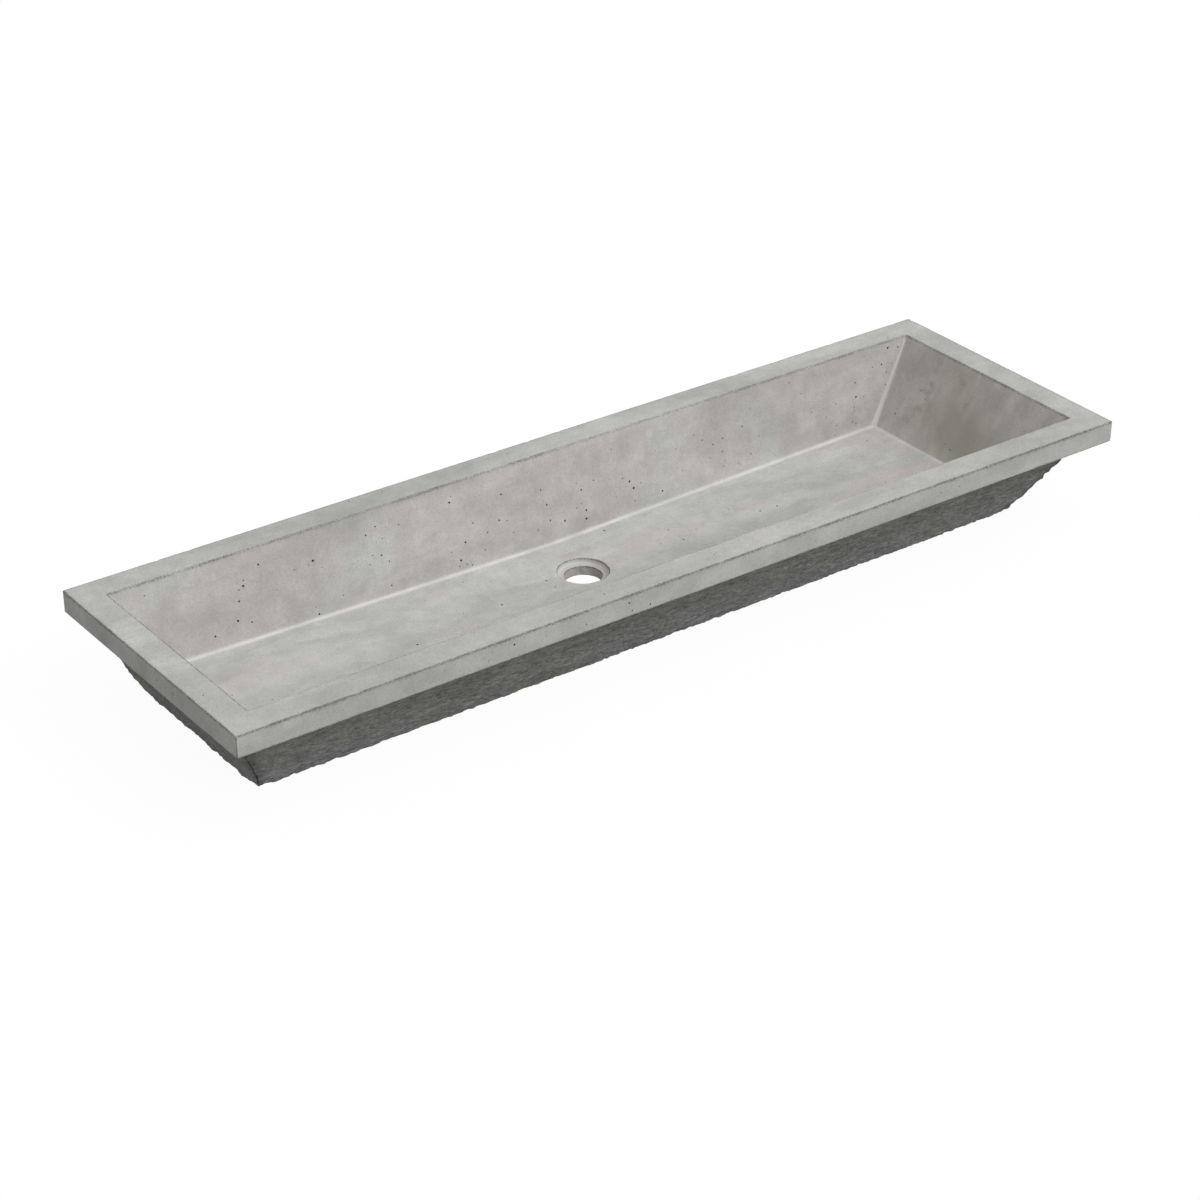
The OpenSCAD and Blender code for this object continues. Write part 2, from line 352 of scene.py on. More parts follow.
def cove_and_walls():
    """Loops from the floor's edge over the cove, the walls and the rim's inner arris, and for
    each its marks arris, cove highlight (a painted highlight) and wall."""
    foot = COVE_R * np.tan((pi / 2 - LEANS) / 2)
    arris_foot = ARRIS_R * np.tan((pi / 2 - LEANS) / 2)
    top = HEIGHT - arris_foot * np.cos(LEANS)
    rows, marks = [], []

    def climb(rise, out, share, corner_r):
        """A loop that starts rise above and out of each wall's foot, and has climbed a share of
        the wall from there."""
        end_rise = share * (top[0] - END_FLOOR - rise[0])
        x_end = end_x(0, END_FLOOR) + out[0] + end_rise * tan(END_LEAN)
        z = floor_z(loop(x_end, 0, 0, *corner_r, 0)[:, 0])
        up = [share * (t - z - r) for t, r in zip(top, rise)]
        y_front = front_y(0, z) - out[1] - up[1] * tan(FRONT_LEAN)
        y_back = back_y(0, z) + out[2] + up[2] * tan(BACK_LEAN)
        z = z + mixed(*(r + u for r, u in zip(rise, up)))
        return loop(x_end, y_front, y_back, *corner_r, z)

    for share, highlight in zip(np.linspace(0, 1, len(COVE_HIGHLIGHT)), COVE_HIGHLIGHT):
        turn = (pi / 2 - LEANS) * share
        rise, out = COVE_R * (1 - np.cos(turn)), COVE_R * np.sin(turn) - foot
        corner_r = COVE_FOOT_R + (out + foot)[1:] / 2 + (out + foot)[0] / 2
        rows.append(climb(rise, out, 0, corner_r))
        marks.append((0, highlight, share))
    for share in (*np.linspace(0, 1, 33)[1:-1], DARKEST_TOP, 1):
        rows.append(climb(rise, out, share, corner_r + (TOP_CORNER_R - corner_r) * share))
        marks.append((np.interp(share, (0.96, DARKEST_TOP), (0, 0.8)), 0, 1))
    for share in np.linspace(1, 0, 5)[1:]:
        turn = (pi / 2 - LEANS) * share
        out = arris_foot - ARRIS_R * np.sin(turn)
        x_end, y_front, y_back = (f(0, HEIGHT) for f in (end_x, front_y, back_y))
        r = TOP_CORNER_R + ARRIS_R * (1 - share)
        z = mixed(*(HEIGHT - ARRIS_R * (1 - np.cos(turn))))
        rows.append(loop(x_end + out[0], y_front - out[1], y_back + out[2], r, r, z))
        marks.append((0.9, 0, share))
    return rows, marks


def rim(inner):
    """The same over the rim's top, its outer arris, its square edge and its lower edge."""
    rows, marks = [], []
    outer = slab_loop(OUTER_ARRIS_R, HEIGHT, SLAB_CORNER_R)
    for share in (0.02, 0.05, *np.linspace(0, 1, 10)[1:-1], 0.92, 0.97, 1):
        rows.append(inner + (outer - inner) * share)
        darkened = np.interp(share, (0, 0.02, 0.05, 0.1, 0.9, 0.97, 1), (1, 0.8, 0.3, 0, 0, 0.6, 1))
        marks.append((darkened, 0, 0))
    for turn in np.linspace(0, pi / 2, 5)[1:]:
        inset, drop = OUTER_ARRIS_R * (1 - sin(turn)), OUTER_ARRIS_R * (1 - cos(turn))
        rows.append(slab_loop(inset, HEIGHT - drop, SLAB_CORNER_R + OUTER_ARRIS_R - inset))
        marks.append((1, 0, 0))
    low, high = UNDER_RIM + LOWER_ARRIS_R, HEIGHT - OUTER_ARRIS_R
    for share in (0.03, 0.09, 0.17, *np.linspace(0, 1, 8)[2:-1], 0.96, 1):
        rows.append(slab_loop(0, high + (low - high) * share, SLAB_CORNER_R + OUTER_ARRIS_R))
        darkened = np.interp(share, (0, 0.09, 0.17, 0.28, 0.86, 1), (1, 0.55, 0.3, 0, 0, 0.7))
        marks.append((darkened, 0, 0))
    for inset in (0.3 * LOWER_ARRIS_R, LOWER_ARRIS_R):
        z = UNDER_RIM + 0.3 * (LOWER_ARRIS_R - inset)
        rows.append(slab_loop(inset, z, UNDER_CORNER_R - 0.5 * inset))
        marks.append((0.6, 0, 0))
    return rows, marks


def shares_of(values):
    """The values' places between the first and the last, from 0 to 1."""
    return (values - values[0]) / (values[-1] - values[0])


def floor_grid(edge):
    """A grid of points over the floor, inside the loop edge."""
    front, right, back, left = sides(edge, CELLS)
    s, t = shares_of(front[:, :1])[:, None], shares_of(left[:, 1:2])[None]
    near_far = (1 - t) * front[:, None] + t * back[:, None]
    left_right = (1 - s) * left[None] + s * right[None]
    near_corners = (1 - s) * front[0] + s * front[-1]
    far_corners = (1 - s) * back[0] + s * back[-1]
    grid = near_far + left_right - ((1 - t) * near_corners + t * far_corners)
    grid[..., 2] = floor_z(grid[..., 0])
    return grid


def waste_rings(shell, edge):
    """The seat and the hole, from the floor down the hole and up again outside the coat."""
    seat_z = MID_FLOOR - SEAT_DEPTH
    outer = round_waste(edge, SEAT_R + WASTE_COLLAR, 0)
    outer[:, 2] = floor_z(outer[:, 0])
    rings = [edge + (outer - edge) * share for share in (0, 0.25, 0.5, 0.75, 1)]
    marks = [(1, 1, 0, 0, 0)] * 5
    mid = float(floor_z(0))
    coat_z, bottom_z = seat_z - COAT, mid - COAT
    profile = [  # radius, level, then the marks free, floor, arris, bore and cove highlight, painted light on the seat's wall
        (SEAT_R + 0.0010, mid, 1, 1, 0, 0, 0),
        (SEAT_R + 0.0004, mid - 0.0001, 1, 1, 0.9, 0, 0),
        (SEAT_R - 0.0001, mid - 0.0004, 1, 1, 1, 0, 0),
        (SEAT_R - 0.0004, mid - 0.0010, 1, 1, 1, 0, 0),
        (SEAT_R - 0.0005, mid - 0.0016, 1, 1, 0.7, 0.2, 0.3),
        (SEAT_R - 0.0011, seat_z + 0.0025, 1, 1, 0, 0.3, 0.5),
        (SEAT_R - 0.0020, seat_z + 0.0012, 1, 1, 0, 0.4, 0.6),
        (SEAT_R - 0.0032, seat_z + 0.0003, 1, 1, 0, 0.4, 0.2),
        (SEAT_R - 0.0047, seat_z, 1, 1, 0, 0.4, 0),
        (WASTE_R + 0.0012, seat_z, 1, 1, 0.3, 0.4, 0),
        (WASTE_R + 0.0006, seat_z - 0.0001, 1, 1, 0.9, 0.5, 0),
        (WASTE_R + 0.0002, seat_z - 0.0005, 1, 0, 1, 0.8, 0),
        (WASTE_R, seat_z - 0.0014, 1, 0, 1, 1, 0),
    ]
    profile += [(WASTE_R, z, 1, 0, 0, 1, 0) for z in np.linspace(seat_z - 0.003, 0.001, 7)]
    profile += [
        (WASTE_R + 0.0004, 0, 0, 0, 0, 1, 0),
        (WASTE_R + COAT, 0, 0, 0, 0, 0, 0),
        (WASTE_R + COAT, coat_z, 0, 0, 0, 0, 0),
        (SEAT_R + COAT, coat_z, 0, 0, 0, 0, 0),
        (SEAT_R + COAT, bottom_z, 0, 0, 0, 0, 0),
    ]
    for r, z, *mark in profile:
        rings.append(round_waste(edge, r, z))
        marks.append(mark)
    below = edge - [0, 0, COAT]
    rings.append(below)
    marks.append((0, 0, 0, 0, 0))
    free, on_floor, arris, bore, highlight = np.array(marks, float).T
    marks = {"free": free, "floor": on_floor, "arris": arris, "bore": bore, "cove": highlight}
    shell.ring(rings, **{k: v[:, None] for k, v in marks.items()})
    return below


def cast_face(material):
    """The smooth coat of the basin, the rim and the waste hole."""
    shell = Shell()
    rows, marks = cove_and_walls()
    rim_rows, rim_marks = rim(rows[-1])
    arris, cove, wall = np.array(marks + rim_marks, float).T[..., None]
    in_corner = np.minimum(3 * np.abs(OUT[:, 0] * OUT[:, 1]), 1)  # 0 along the straight sides
    level = np.array([row[0, 2] for row in rows + rim_rows])[:, None]
    # the painted highlight also runs up the walls' inner corners
    cove = np.maximum(cove, wall * in_corner * (arris == 0))
    on_edge = 1.1 * in_corner * ((level < HEIGHT - 0.0001) & (wall == 0))
    # the darkening along the rim's inner edge is faintest in front
    within = (np.arange(len(arris)) < len(rows) + 4)[:, None]
    arris = np.maximum(arris * np.where(within, mixed(1, 0.82, 0.95), 1), on_edge)
    shell.ring(rows + rim_rows, arris=arris, cove=cove, wall=wall, end=wall * SHARES[0], free=1)

    floor = floor_grid(rows[0])
    block = waste_block(floor, WASTE_BLOCK)
    shell.patch(floor, keep_out(CELLS, block), free=1, floor=1)
    hole = round_block(floor, block)
    hole_below = waste_rings(shell, hole)

    # the coat's hidden side
    z = floor_z(rows[0][:, 0], COAT)
    corner_r = (HIDDEN_CORNER_R, HIDDEN_CORNER_R)
    foot = loop(end_x(COAT, z.max()), front_y(COAT, z), back_y(COAT, z), *corner_r, z)
    core_z = HEIGHT - COAT
    head = loop(*(f(COAT, core_z) for f in (end_x, front_y, back_y)), *corner_r, core_z)
    edge = [slab_loop(COAT, z, CORE_CORNER_R) for z in (UNDER_RIM, core_z)]
    shell.ring([rim_rows[-1], *edge, head, foot])
    close_across(shell, foot, CELLS, hole_below, block, ARC)

    points, marks, faces = with_pits(*shell.welded())
    free = marks.pop("free")
    wear = 0.0001 + 0.00006 * noise(points, 0.05, 11) + 0.00004 * noise(points, 0.012, 12)
    wear *= 1 - np.maximum(marks["bore"], marks["pit"])
    chips = 0.0006 * marks["arris"] ** 4 * smooth(0.45, 0.8, noise(points, 0.008, 13))
    crumbs = 0.0010 * marks["bore"] * smooth(-0.3, 0.7, noise(points, (0.003, 0.003, 0.005), 14))
    points = points - normals(points, faces) * ((wear + chips - crumbs) * free)[:, None]
    points = np.clip(points, *(np.array(corner) for corner in cad_bounds))
    make("cast_face", points, marks, faces, material, "face_concrete", "face_shell")


PIT_CHANCES = (0.004, 0.014, 0.0115, 0.0035)  # on the rim's top and edge, the back wall, elsewhere
PIT_R, PIT_R_SPREAD = 0.0004, 0.0011  # the least radius, and what chance adds at most
PIT_QUAD, PIT_SHARE = 0.0024, 0.44  # least side of a pit's quad, and its radius' share of it
PIT_ROUGH = 0.18  # how far a pit's points stray, as a share of their distance from its middle
PIT_SIDES = 8
PIT_RINGS = ((1, 0, 0.8), (0.85, 0.45, 1), (0.5, 0.9, 1))  # width, drop and mark of each
PIT_POINTS = PIT_SIDES * len(PIT_RINGS)


def with_pits(points, marks, faces):
    """Sinks the pits of air bubbles in some of the smooth quads, each an eight-sided cup."""
    rng = np.random.default_rng(21)
    quads = np.array([k for k, f in enumerate(faces) if len(f) == 4])
    index = np.array([faces[k] for k in quads])
    corners = points[index]
    centre = corners.mean(1)
    side = np.linalg.norm(corners - np.roll(corners, 1, 1), axis=2).min(1)
    edged = np.maximum(marks["arris"], marks["bore"])[index].max(1)
    plain = (marks["free"][index].min(1) > 0.5) & (edged < 0.1) & (side > PIT_QUAD)
    on_back = centre[:, 1] > back_y(0, END_FLOOR) - 0.002
    on_top = centre[:, 2] > HEIGHT - 0.001
    on_edge = (np.abs(centre[:, :2]) > [RIM_L / 2 - 0.0005, RIM_W / 2 - 0.0005]).any(1)
    chance = np.select([on_top, on_edge, on_back], PIT_CHANCES[:3], PIT_CHANCES[3])
    chance *= 0.3 + 2 * smooth(0, 0.7, noise(centre, 0.06, 22))  # they gather in places
    chosen = np.flatnonzero(plain & (rng.uniform(size=len(quads)) < chance))

    cups, cup_faces, dropped, touched = [], [], [], set()
    turns = np.arange(PIT_SIDES) * 2 * pi / PIT_SIDES
    width, drop, pit_mark = np.array(PIT_RINGS).T
    for q in chosen:
        face, c = faces[quads[q]], corners[q]
        if touched.intersection(face):
            continue
        touched.update(face)
        dropped.append(quads[q])
        inward = np.cross(c[3] - c[1], c[2] - c[0])
        inward /= np.linalg.norm(inward)
        ahead = c[1] + c[2] - c[0] - c[3]
        ahead /= np.linalg.norm(ahead)
        across = np.cross(ahead, inward)
        r = min(PIT_SHARE * side[q], PIT_R + PIT_R_SPREAD * rng.uniform() ** 3)
        first = len(points) + PIT_POINTS * len(cups)
        rim_way = np.cos(turns)[:, None] * ahead + np.sin(turns)[:, None] * across
        rough = 1 + PIT_ROUGH * rng.uniform(-1, 1, (len(PIT_RINGS), PIT_SIDES, 1))
        cup = width[:, None, None] * rough * rim_way + drop[:, None, None] * inward
        cups.append(centre[q] + r * cup)
        # the quad's corners lie at 225, 315, 45 and 135 degrees of the cup
        for k, start in enumerate((5, 7, 1, 3)):
            ring = [first + (start + n) % PIT_SIDES for n in range(3)]
            cup_faces.append([face[k], face[(k + 1) % 4], *ring[::-1]])
        for k in range(PIT_POINTS - PIT_SIDES):
            this, other = first + k, first + k - k % PIT_SIDES + (k + 1) % PIT_SIDES
            cup_faces.append([this, other, other + PIT_SIDES, this + PIT_SIDES])
        cup_faces.append([first + PIT_POINTS - PIT_SIDES + k for k in range(PIT_SIDES)])
    own = np.repeat([faces[k][0] for k in dropped], PIT_POINTS)
    marks = {k: np.concatenate([v, v[own]]) for k, v in marks.items()}
    in_pits = np.tile(np.repeat(pit_mark, PIT_SIDES), len(cups))
    marks["pit"] = np.concatenate([np.zeros(len(points)), in_pits])
    whole = np.ones(len(faces), bool)
    whole[dropped] = False
    kept = [f for f, stays in zip(faces, whole) if stays]
    return np.concatenate([points, np.reshape(cups, (-1, 3))]), marks, kept + cup_faces


# ---------------------------------------------------------------- the rough batches

WAYS_OUT = {
    "front": np.array([0, -cos(FRONT_LEAN), -sin(FRONT_LEAN)]),
    "back": np.array([0, cos(BACK_LEAN), -sin(BACK_LEAN)]),
    "left": np.array([-cos(END_LEAN), 0, -sin(END_LEAN)]),
    "right": np.array([cos(END_LEAN), 0, -sin(END_LEAN)]),
}
NEIGHBOURS = {  # at the low and the high end of each wall
    "front": ("left", "right"),
    "back": ("left", "right"),
    "left": ("front", "back"),
    "right": ("front", "back"),
}
SEAM_BLEND = 0.018  # the width in which one wall's relief turns to the next wall's
SEAM_GAP = 0.00035  # how far each batch draws back from its seams
OPEN_SEAM_GAP = {"front": 0.0019, "left": 0.0010}  # the same at the seam that stands open
CORNER_WEAR, BACK_CORNER_WEAR = 0.0022, 0.0045  # how far the corners are worn back
WEAR_WIDTH = 0.022  # how far from the corner the wear reaches
END_SWELL = 0.001  # how far the end batches swell out, in full in their lower half
RELIEF = 0.0009  # what a layer of strength 1 comes to
RELIEF_SPAN = 0.0044  # the height in which the mark height goes from 0 to 1
BED_GAP = 0.0006  # between the underside and the ground, where it isn't crumbled
BOSS_GAP = 0.0002  # between the floor's batch and the coat's boss
BOSS_BLOCK = 0.045  # half the width of the cells that give way to the boss


def relief(p):
    """How far the hand-packed outside stands out of its mean level."""
    x, y, z = np.moveaxis(p, -1, 0)
    turned = np.stack([x + 0.25 * z, y, z - 0.25 * x], -1)
    lumps = 0.5 * noise(p, (0.045, 0.035, 0.025), 31)
    strokes = 0.9 * noise(turned, (0.016, 0.010, 0.005), 32)
    ridges = 0.7 * (1 - 2 * np.abs(noise(turned, (0.020, 0.011, 0.006), 33)))
    grit = 0.9 * noise(p, 0.0050, 34) + 0.8 * noise(p, 0.0034, 40)
    return RELIEF * (lumps + strokes + ridges + grit + 0.4)


def lying(p, outside):
    """How far the underside lies above the ground. It is crumbled towards its outside."""
    even = BED_GAP * (1 + 0.6 * noise(p, 0.03, 35) + 0.4 * noise(p, 0.008, 36))
    teeth = 0.0021 * smooth(-0.1, 0.7, noise(p, 0.0055, 38))
    bites = 0.0020 * smooth(0.2, 0.9, noise(p, 0.022, 39))
    return even * (1 - outside) + (teeth + bites) * outside


def batch_points(side, u, z, depth):
    """Points of a wall's batch and their height of relief from 0 to 1: u from -1 to 1 along it, at
    level z, and depth from 0 outside to 1 inside."""
    u, z, depth = np.broadcast_arrays(u, z, depth)
    x_end = end_x(END_WALL + (INNER - END_WALL) * depth, z)
    y_front = front_y(FRONT_WALL + (INNER - FRONT_WALL) * depth, z)
    y_back = back_y(BACK_WALL + (INNER - BACK_WALL) * depth, z)
    if side in ("front", "back"):
        axis, half = 0, x_end
        p = np.stack([u * x_end, y_front if side == "front" else y_back, z], -1)
    else:
        axis, half = 1, (y_back - y_front) / 2
        p = np.stack([-x_end if side == "left" else x_end, y_front + (u + 1) * half, z], -1)
    out = np.broadcast_to(WAYS_OUT[side], p.shape)
    drawn, worn = np.zeros(p.shape[:-1]), 0
    for sign, other in zip((-1, 1), NEIGHBOURS[side]):
        from_seam = (1 - sign * u) * half
        share = smooth(SEAM_BLEND, 0, from_seam)[..., None] / 2
        out = out * (1 - share) + WAYS_OUT[other] * share
        # each batch draws back from its seams, and the front left one stands open, most of all
        # a little above the ground
        gap = SEAM_GAP
        if {side, other} == {"front", "left"}:
            wide = smooth(0, 0.016, z) * (1.3 - z / UNDER_RIM) * (1 + 0.7 * noise(p, 0.008, 37))
            gap = OPEN_SEAM_GAP[side] * wide
        drawn = drawn - sign * gap * smooth(0.008, 0, from_seam) * smooth(1, 0.4, depth)
        rounding = BACK_CORNER_WEAR if "back" in (side, other) else CORNER_WEAR
        worn = worn + rounding * smooth(WEAR_WIDTH, 0, from_seam)
    out = out / np.linalg.norm(out, axis=-1, keepdims=True)
    height = (relief(p) - worn) * smooth(UNDER_RIM, UNDER_RIM - 0.006, z) * (1 - depth)
    if side in ("left", "right"):
        height += END_SWELL * smooth(UNDER_RIM, 0.06, z) * (1 - depth)
    moved = p + out * height[..., None]
    moved[..., axis] += drawn
    crumbled = np.where(z < 1e-9, lying(p, smooth(0.5, 0, depth)), 0)
    moved[..., 2] = np.maximum(moved[..., 2], 0) + crumbled
    return moved, np.clip(height / RELIEF_SPAN + 0.5, 0, 1)


def rough_wall(side, cells, material):
    """The batch behind one wall, in cells along, up and through it."""
    shell = Shell()
    u, up, d = (np.linspace(0, 1, n + 1) for n in cells)
    u, z = u * 2 - 1, up * UNDER_RIM

    def add(*place):
        points, height = batch_points(side, *place)
        shell.patch(points, height=height)
        return points

    outside = add(u[:, None], z, 0)
    low, high = (add(np.full(1, end), z[:, None], d) for end in (-1, 1))
    bottom = add(u[:, None], np.zeros(1), d)
    inner_top = batch_points(side, u, UNDER_RIM, 1)[0]
    shell.cap(outside[:, -1], high[-1, 1:], inner_top[1:-1][::-1], low[-1, 1:][::-1])
    shell.cap(bottom[:, -1], high[1:-1, -1], inner_top[::-1], low[1:-1, -1][::-1])
    make("rough_" + side, *shell.welded(), material, "fibre_concrete", "backing_" + side, pi)


def rough_floor(material):
    """The batch under the floor, with the coat's boss let through it."""
    cells = (212, 46)
    s, t = (np.linspace(0, 1, n + 1) for n in cells)
    x = (2 * s - 1) * end_x(INNER, 0)
    y = front_y(INNER, 0) + t * (back_y(INNER, 0) - front_y(INNER, 0))
    grid = np.stack(np.broadcast_arrays(x[:, None], y, 0.0), -1)
    grid[..., 2] = lying(grid, 0)
    block = waste_block(grid, BOSS_BLOCK)
    shell = Shell()
    shell.patch(grid, keep_out(cells, block))
    edge = round_grid(grid)
    top_z = float(floor_z(end_x(0, END_FLOOR), INNER))
    top = edge.copy()
    top[:, 0] *= end_x(INNER, top_z) / end_x(INNER, 0)
    top[:, 2] = floor_z(top[:, 0], INNER)
    share = (edge[:, 1] - y[0]) / (y[-1] - y[0])
    top[:, 1] = front_y(INNER, top[:, 2]) * (1 - share) + back_y(INNER, top[:, 2]) * share
    shell.ring([edge, top])
    hole = round_block(grid, block)
    above = hole.copy()
    above[:, 2] = floor_z(above[:, 0], INNER)
    boss, seat_boss = WASTE_R + COAT + BOSS_GAP, SEAT_R + COAT + BOSS_GAP
    step_z = MID_FLOOR - SEAT_DEPTH - COAT - BOSS_GAP
    rings = [round_waste(hole, boss, z) for z in (BED_GAP, step_z)]
    rings += [round_waste(hole, seat_boss, z) for z in (step_z, floor_z(0, INNER))]
    shell.ring([hole, *rings, above])
    close_across(shell, top, cells, above, block, 1)
    points, marks, faces = shell.welded()
    marks["height"] = np.full(len(points), 0.5)
    make("rough_floor", points, marks, faces, material, "fibre_concrete", "backing_floor")


# ---------------------------------------------------------------- materials


def node(tree, kind, inputs=(), **settings):
    """Adds a shader node. inputs gives values or sockets to link, by the socket's name or index."""
    made = tree.nodes.new("ShaderNode" + kind)
    for name, value in settings.items():
        setattr(made, name, value)
    for key, value in dict(inputs).items():
        if isinstance(value, bpy.types.NodeSocket):
            tree.links.new(value, made.inputs[key])
        else:
            made.inputs[key].default_value = value
    return made


class Paint:
    """Short ways to write a material's nodes. Every value is a socket or a plain number."""

    def __init__(self, name):
        self.material = bpy.data.materials.new(name)
        self.material.use_nodes = True
        self.tree = self.material.node_tree
        self.shader = self.tree.nodes["Principled BSDF"]
        self.place = node(self.tree, "TexCoord").outputs["Object"]

    def clouds(self, scale, detail=4, roughness=0.5, distortion=0.0, turn=(0, 0, 0)):
        """Noise about 0.5. scale is in features a metre, in all ways alike or along x, y and z
        after the turn."""
        scale = scale if isinstance(scale, tuple) else (scale,) * 3
        inputs = {"Vector": self.place, "Rotation": turn, "Scale": [1 / s for s in scale]}
        at = node(self.tree, "Mapping", inputs, vector_type="TEXTURE").outputs[0]
        inputs = {"Vector": at, "Scale": 1, "Detail": detail, "Roughness": roughness}
        inputs["Distortion"] = distortion
        return node(self.tree, "TexNoise", inputs).outputs["Fac"]

    def specks(self, scale, size, share):
        """Round specks, 1 inside, in a share of the cells, which lie 1 / scale metres apart."""
        cells = node(self.tree, "TexVoronoi", {"Vector": self.place, "Scale": scale}).outputs
        chance = node(self.tree, "SeparateColor", {0: cells["Color"]}).outputs[0]
        chosen = self.math("LESS_THAN", chance, share)
        return self.math("MULTIPLY", chosen, self.ramp(cells["Distance"], size, 0.6 * size))

    def spot(self, centre, size):
        """1 at centre, and less and less out to an oval that reaches size from there."""
        inputs = {"Vector": self.place, "Location": centre, "Scale": size}
        at = node(self.tree, "Mapping", inputs, vector_type="TEXTURE").outputs[0]
        far = node(self.tree, "VectorMath", {0: at}, operation="LENGTH").outputs["Value"]
        return self.ramp(far, 1.0, 0.1)

    def mark(self, name):
        """One of the marks at the mesh's points."""
        return node(self.tree, "Attribute", attribute_name=name).outputs["Fac"]

    def math(self, operation, a, b=0.0, c=0.0):
        return node(self.tree, "Math", {0: a, 1: b, 2: c}, operation=operation).outputs[0]

    def ramp(self, value, low, high, to_low=0.0, to_high=1.0):
        """to_low where value is low, softly to to_high where it is high, and level beyond both."""
        inputs = {"Value": value, "From Min": low, "From Max": high}
        inputs |= {"To Min": to_low, "To Max": to_high}
        return node(self.tree, "MapRange", inputs, interpolation_type="SMOOTHSTEP").outputs[0]

    def mix(self, factor, a, b, blend="MIX"):
        a, b = ((*v, 1) if isinstance(v, tuple) else v for v in (a, b))
        made = node(self.tree, "Mix", {0: factor, 6: a, 7: b}, data_type="RGBA", blend_type=blend)
        return made.outputs[2]

    def shade(self, color, factor):
        """color times factor."""
        grey = node(self.tree, "CombineColor", {0: factor, 1: factor, 2: factor}).outputs[0]
        return self.mix(1.0, color, grey, "MULTIPLY")

    def finish(self, color, roughness, height, distance, strength=1.0):
        """The material, with height as bumps that are distance high at most."""
        inputs = {"Height": height, "Distance": distance, "Strength": strength}
        bump = node(self.tree, "Bump", inputs).outputs[0]
        for name, socket in (("Base Color", color), ("Roughness", roughness), ("Normal", bump)):
            self.tree.links.new(socket, self.shader.inputs[name])
        return self.material


COOL = (0.485, 0.492, 0.462)
WARM = (0.517, 0.490, 0.481)
EARTHY = (0.510, 0.484, 0.432)
SHADY = (0.320, 0.308, 0.268)
BORE = (0.465, 0.432, 0.410)
PAINTED_HIGHLIGHT = (0.65, 0.64, 0.615)
SPECK = (0.14, 0.135, 0.12)
EDGE_DARK = (0.14, 0.14, 0.126)
PIT_SHADE = (0.04, 0.037, 0.032)
BATCH_GREY, BATCH_BLUE = (0.252, 0.258, 0.232), (0.260, 0.261, 0.266)
DAMP_AT, DAMP_REACH = (0.545, -0.004, 0.066), (0.10, 0.110, 0.060)  # on the right end wall
TONES_AND_PAINTED_LIGHT = (  # paler and darker stretches, some of them painted light and shade: centre, reach and change of brightness
    # painted light: the ends of the rim's top are brighter
    ((-0.604, 0, HEIGHT), (0.04, 0.35, 0.012), 0.05),
    ((0.604, 0, HEIGHT), (0.04, 0.35, 0.012), 0.07),
    # painted shade: the back of the rim's top is darker
    ((-0.20, 0.172, HEIGHT), (0.35, 0.06, 0.012), -0.12),
    ((0.46, -0.190, 0.120), (0.16, 0.03, 0.025), 0.08),
    ((-0.48, -0.190, 0.118), (0.12, 0.03, 0.025), 0.06),
    ((0.20, 0.095, 0.030), (0.20, 0.045, 0.020), 0.07),
    ((0.14, 0.052, 0.026), (0.10, 0.022, 0.020), -0.07),
    ((0.50, 0.150, 0.120), (0.10, 0.040, 0.040), -0.08),
    ((0.565, 0.120, 0.110), (0.06, 0.050, 0.050), -0.08),
    ((0.25, 0.150, 0.080), (0.10, 0.040, 0.060), 0.06),
    ((0.030, 0.052, 0.014), (0.018, 0.028, 0.010), -0.16),
    ((-0.48, -0.172, HEIGHT), (0.16, 0.030, 0.012), -0.07),
    # painted shade: the left edge is darker
    ((-0.633, 0, 0.120), (0.014, 0.50, 0.050), -0.40),
)
WARMTHS = (  # warmer and cooler stretches: centre, reach and change of warmth
    ((0.50, 0.120, 0.070), (0.20, 0.12, 0.10), 0.12),
    ((0.56, 0.150, 0.085), (0.09, 0.05, 0.08), 0.10),
    ((-0.36, 0.020, 0.030), (0.24, 0.14, 0.06), -0.08),
    ((-0.623, -0.165, 0.122), (0.03, 0.045, 0.016), 0.25),
)


